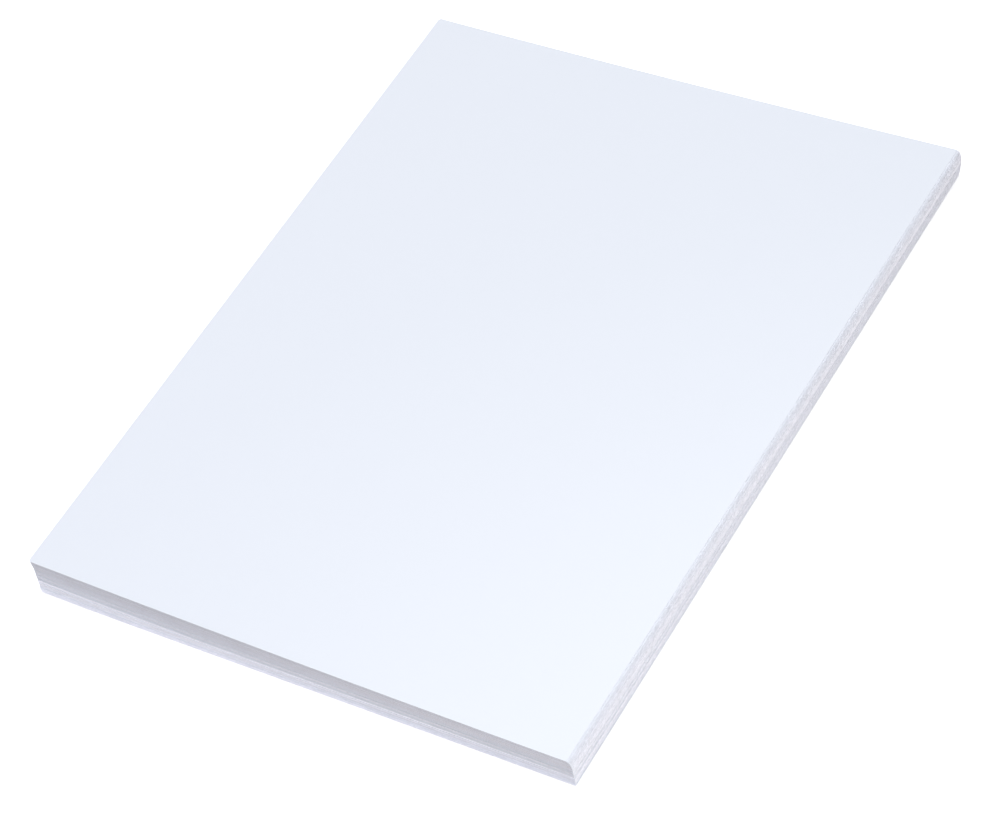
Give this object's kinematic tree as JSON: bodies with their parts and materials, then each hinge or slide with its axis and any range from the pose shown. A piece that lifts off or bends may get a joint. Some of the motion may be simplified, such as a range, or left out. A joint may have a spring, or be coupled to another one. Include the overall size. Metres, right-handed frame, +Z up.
{
  "type": "stack of photo paper",
  "caption": "Stack of loose, blank sheets of glossy photo paper with slightly uneven edges, curled up along one long side and trimmed along the other.",
  "frame": {"origin": "on the table, under the middle of the stack", "axes": "+X along the short edge, towards the trimmed side; +Y along the long edge; +Z up"},
  "size_m": [0.2047, 0.2558, 0.015],
  "materials": {
    "photo_paper": "resin-coated white photo paper, glossy face, satin back, raw cut edges"
  },
  "bodies": {
    "root": {"sheet_01": "photo_paper", "sheet_02": "photo_paper", "sheet_03": "photo_paper", "sheet_04": "photo_paper", "sheet_05": "photo_paper", "sheet_06": "photo_paper", "sheet_07": "photo_paper", "sheet_08": "photo_paper", "sheet_09": "photo_paper", "sheet_10": "photo_paper", "sheet_11": "photo_paper", "sheet_12": "photo_paper", "sheet_13": "photo_paper", "sheet_14": "photo_paper", "sheet_15": "photo_paper", "sheet_16": "photo_paper", "sheet_17": "photo_paper", "sheet_18": "photo_paper", "sheet_19": "photo_paper", "sheet_20": "photo_paper", "sheet_21": "photo_paper", "sheet_22": "photo_paper", "sheet_23": "photo_paper", "sheet_24": "photo_paper", "sheet_25": "photo_paper", "sheet_26": "photo_paper", "sheet_27": "photo_paper", "sheet_28": "photo_paper", "sheet_29": "photo_paper", "sheet_30": "photo_paper", "sheet_31": "photo_paper", "sheet_32": "photo_paper", "sheet_33": "photo_paper", "sheet_34": "photo_paper", "sheet_35": "photo_paper", "sheet_36": "photo_paper", "sheet_37": "photo_paper", "sheet_38": "photo_paper", "sheet_39": "photo_paper", "sheet_40": "photo_paper", "sheet_41": "photo_paper", "sheet_42": "photo_paper", "sheet_43": "photo_paper", "sheet_44": "photo_paper", "sheet_45": "photo_paper", "sheet_46": "photo_paper", "sheet_47": "photo_paper", "sheet_48": "photo_paper", "sheet_49": "photo_paper", "sheet_50": "photo_paper"}
  },
  "joints": []
}
